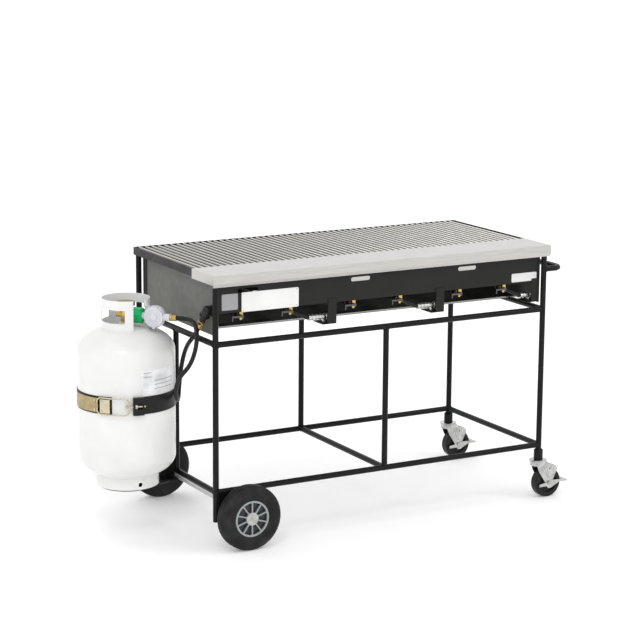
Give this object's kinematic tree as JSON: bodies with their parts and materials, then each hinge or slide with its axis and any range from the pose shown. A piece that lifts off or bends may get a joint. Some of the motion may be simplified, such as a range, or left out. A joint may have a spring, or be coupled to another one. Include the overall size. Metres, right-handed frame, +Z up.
{
  "type": "commercial gas grill cart",
  "caption": "Long gas grill on a tubular wheeled cart: bar grates over a sheet firebox, front shelf, push handle, swivel casters, and a strapped gas cylinder on an end platform.",
  "frame": {"origin": "on the floor, under the middle of the whole cart", "axes": "+X along the length from the gas cylinder to the push handle, +Y from the working side to the back, +Z up"},
  "size_m": [1.6704, 0.711, 0.875],
  "materials": {
    "frame_black": "semi-gloss black paint on steel tube",
    "box_black": "black painted sheet steel",
    "box_grey": "dark grey baked sheet steel",
    "rim_black": "black painted steel angle",
    "shelf_stainless": "brushed stainless sheet",
    "grate_plated": "bright plated round bar",
    "pan_steel": "bright aluminised sheet",
    "burner_steel": "heat-dulled steel tube",
    "manifold_black": "black pipe",
    "valve_brass": "machined brass",
    "lever_steel": "dark grey flat bar",
    "mixer_aluminium": "cast and turned aluminium",
    "lighter_tube_dark": "dark steel tube",
    "cylinder_white": "gloss white paint",
    "handwheel_black": "moulded plastic",
    "nut_green": "bright green moulded plastic",
    "regulator_grey": "pale grey painted die casting",
    "hose_black": "black rubber hose",
    "strap_black": "black painted steel band",
    "latch_gold": "yellow passivated steel",
    "wire_gold": "pale yellow passivated steel wire",
    "tyre_black": "semi-pneumatic rubber",
    "rim_silver": "moulded grey wheel centre",
    "axle_steel": "bright steel bar",
    "caster_zinc": "bright zinc plating",
    "caster_tread": "hard black rubber wheel"
  },
  "bodies": {
    "cart": {"axle": "axle_steel", "axle_plates": "frame_black", "burners": "burner_steel", "caster_sockets": "frame_black", "caster_stems": "caster_zinc", "cylinder_body": "cylinder_white", "cylinder_collar": "cylinder_white", "cylinder_foot_ring": "cylinder_white", "cylinder_valve": "valve_brass", "firebox_back_panel": "box_black", "firebox_front_panel": "box_black", "firebox_left_panel": "box_grey", "firebox_right_panel": "box_grey", "gas_hose": "hose_black", "gas_manifold": "manifold_black", "hose_fittings": "valve_brass", "inlet_elbow": "manifold_black", "left_legs": "frame_black", "lighter_brackets": "box_black", "lighter_mixers": "mixer_aluminium", "lighter_tubes": "lighter_tube_dark", "lower_cross_rails": "frame_black", "lower_long_rails": "frame_black", "mid_posts": "frame_black", "push_handle": "frame_black", "regulator": "regulator_grey", "right_legs": "frame_black", "serving_shelf": "shelf_stainless", "strap_fittings": "wire_gold", "tank_platform": "frame_black", "tank_post": "frame_black", "tank_strap": "strap_black", "top_rim": "rim_black", "upper_cross_rails": "frame_black", "upper_long_rails": "frame_black", "valve_bodies": "valve_brass"},
    "front_wheel": {"front_wheel_rim": "rim_silver", "front_wheel_tyre": "tyre_black"},
    "back_wheel": {"back_wheel_rim": "rim_silver", "back_wheel_tyre": "tyre_black"},
    "drip_pan": {"drip_pan": "pan_steel"},
    "cylinder_handwheel": {"cylinder_handwheel": "handwheel_black"},
    "fuel_nut": {"fuel_nut": "nut_green"},
    "strap_toggle": {"strap_toggle": "latch_gold"},
    "strap_bail": {"strap_bail": "wire_gold"},
    "front_caster_swivel": {"front_caster_fork": "caster_zinc"},
    "front_caster_roller": {"front_caster_wheel": "caster_tread"},
    "front_caster_brake": {"front_caster_brake": "caster_zinc"},
    "back_caster_swivel": {"back_caster_fork": "caster_zinc"},
    "back_caster_roller": {"back_caster_wheel": "caster_tread"},
    "back_caster_brake": {"back_caster_brake": "caster_zinc"},
    "left_grate": {"left_grate": "grate_plated"},
    "middle_grate": {"middle_grate": "grate_plated"},
    "right_grate": {"right_grate": "grate_plated"},
    "valve_lever_1": {"valve_lever_1": "lever_steel"},
    "valve_lever_2": {"valve_lever_2": "lever_steel"},
    "valve_lever_3": {"valve_lever_3": "lever_steel"},
    "valve_lever_4": {"valve_lever_4": "lever_steel"},
    "valve_lever_5": {"valve_lever_5": "lever_steel"},
    "valve_lever_6": {"valve_lever_6": "lever_steel"}
  },
  "joints": [
    {"name": "front_wheel_spin", "type": "hinge", "parent": "cart", "child": "front_wheel", "pos_m": [-0.4083, -0.33, 0.1045], "axis": [0, 1, 0], "continuous": true},
    {"name": "front_caster_turn", "type": "hinge", "parent": "cart", "child": "front_caster_swivel", "pos_m": [0.7262, -0.2825, 0.12], "axis": [0, 0, 1], "continuous": true},
    {"name": "front_caster_roll", "type": "hinge", "parent": "front_caster_swivel", "child": "front_caster_roller", "pos_m": [0.7592, -0.2825, 0.0508], "axis": [0, 1, 0], "continuous": true},
    {"name": "front_brake_pedal", "type": "hinge", "parent": "front_caster_swivel", "child": "front_caster_brake", "pos_m": [0.7592, -0.2825, 0.0508], "axis": [0, 1, 0], "range_deg": [0, 12]},
    {"name": "back_wheel_spin", "type": "hinge", "parent": "cart", "child": "back_wheel", "pos_m": [-0.4083, 0.33, 0.1045], "axis": [0, 1, 0], "continuous": true},
    {"name": "back_caster_turn", "type": "hinge", "parent": "cart", "child": "back_caster_swivel", "pos_m": [0.7262, 0.2825, 0.12], "axis": [0, 0, 1], "continuous": true},
    {"name": "back_caster_roll", "type": "hinge", "parent": "back_caster_swivel", "child": "back_caster_roller", "pos_m": [0.7592, 0.2825, 0.0508], "axis": [0, 1, 0], "continuous": true},
    {"name": "back_brake_pedal", "type": "hinge", "parent": "back_caster_swivel", "child": "back_caster_brake", "pos_m": [0.7592, 0.2825, 0.0508], "axis": [0, 1, 0], "range_deg": [0, 12]},
    {"name": "burner_valve_1", "type": "hinge", "parent": "cart", "child": "valve_lever_1", "pos_m": [-0.39155, -0.2505, 0.73], "axis": [0, -1, 0], "range_deg": [0, 90]},
    {"name": "burner_valve_2", "type": "hinge", "parent": "cart", "child": "valve_lever_2", "pos_m": [-0.21655, -0.2505, 0.73], "axis": [0, -1, 0], "range_deg": [0, 90]},
    {"name": "burner_valve_3", "type": "hinge", "parent": "cart", "child": "valve_lever_3", "pos_m": [0.01345, -0.2505, 0.73], "axis": [0, -1, 0], "range_deg": [0, 90]},
    {"name": "burner_valve_4", "type": "hinge", "parent": "cart", "child": "valve_lever_4", "pos_m": [0.18845, -0.2505, 0.73], "axis": [0, -1, 0], "range_deg": [0, 90]},
    {"name": "burner_valve_5", "type": "hinge", "parent": "cart", "child": "valve_lever_5", "pos_m": [0.41845, -0.2505, 0.73], "axis": [0, -1, 0], "range_deg": [0, 90]},
    {"name": "burner_valve_6", "type": "hinge", "parent": "cart", "child": "valve_lever_6", "pos_m": [0.59345, -0.2505, 0.73], "axis": [0, -1, 0], "range_deg": [0, 90]},
    {"name": "left_grate_lift", "type": "slide", "parent": "cart", "child": "left_grate", "axis": [0, 0, 1], "range_m": [0, 0.3]},
    {"name": "middle_grate_lift", "type": "slide", "parent": "cart", "child": "middle_grate", "axis": [0, 0, 1], "range_m": [0, 0.3]},
    {"name": "right_grate_lift", "type": "slide", "parent": "cart", "child": "right_grate", "axis": [0, 0, 1], "range_m": [0, 0.3]},
    {"name": "drip_pan_pull", "type": "slide", "parent": "cart", "child": "drip_pan", "axis": [0, 1, 0], "range_m": [0, 0.4]},
    {"name": "cylinder_valve_turn", "type": "hinge", "parent": "cart", "child": "cylinder_handwheel", "pos_m": [-0.6746, 0, 0.746], "axis": [0, 0, 1], "range_deg": [0, 1080]},
    {"name": "fuel_nut_turn", "type": "hinge", "parent": "cart", "child": "fuel_nut", "pos_m": [-0.6746, 0, 0.718], "axis": [0.682, -0.7314, 0], "continuous": true},
    {"name": "toggle_open", "type": "hinge", "parent": "cart", "child": "strap_toggle", "pos_m": [-0.81343, -0.08675, 0.458], "axis": [0, 0, 1], "range_deg": [0, 100]},
    {"name": "bail_swing", "type": "hinge", "parent": "cart", "child": "strap_bail", "pos_m": [-0.81343, -0.08675, 0.458], "axis": [0, 0, -1], "range_deg": [0, 60]}
  ]
}
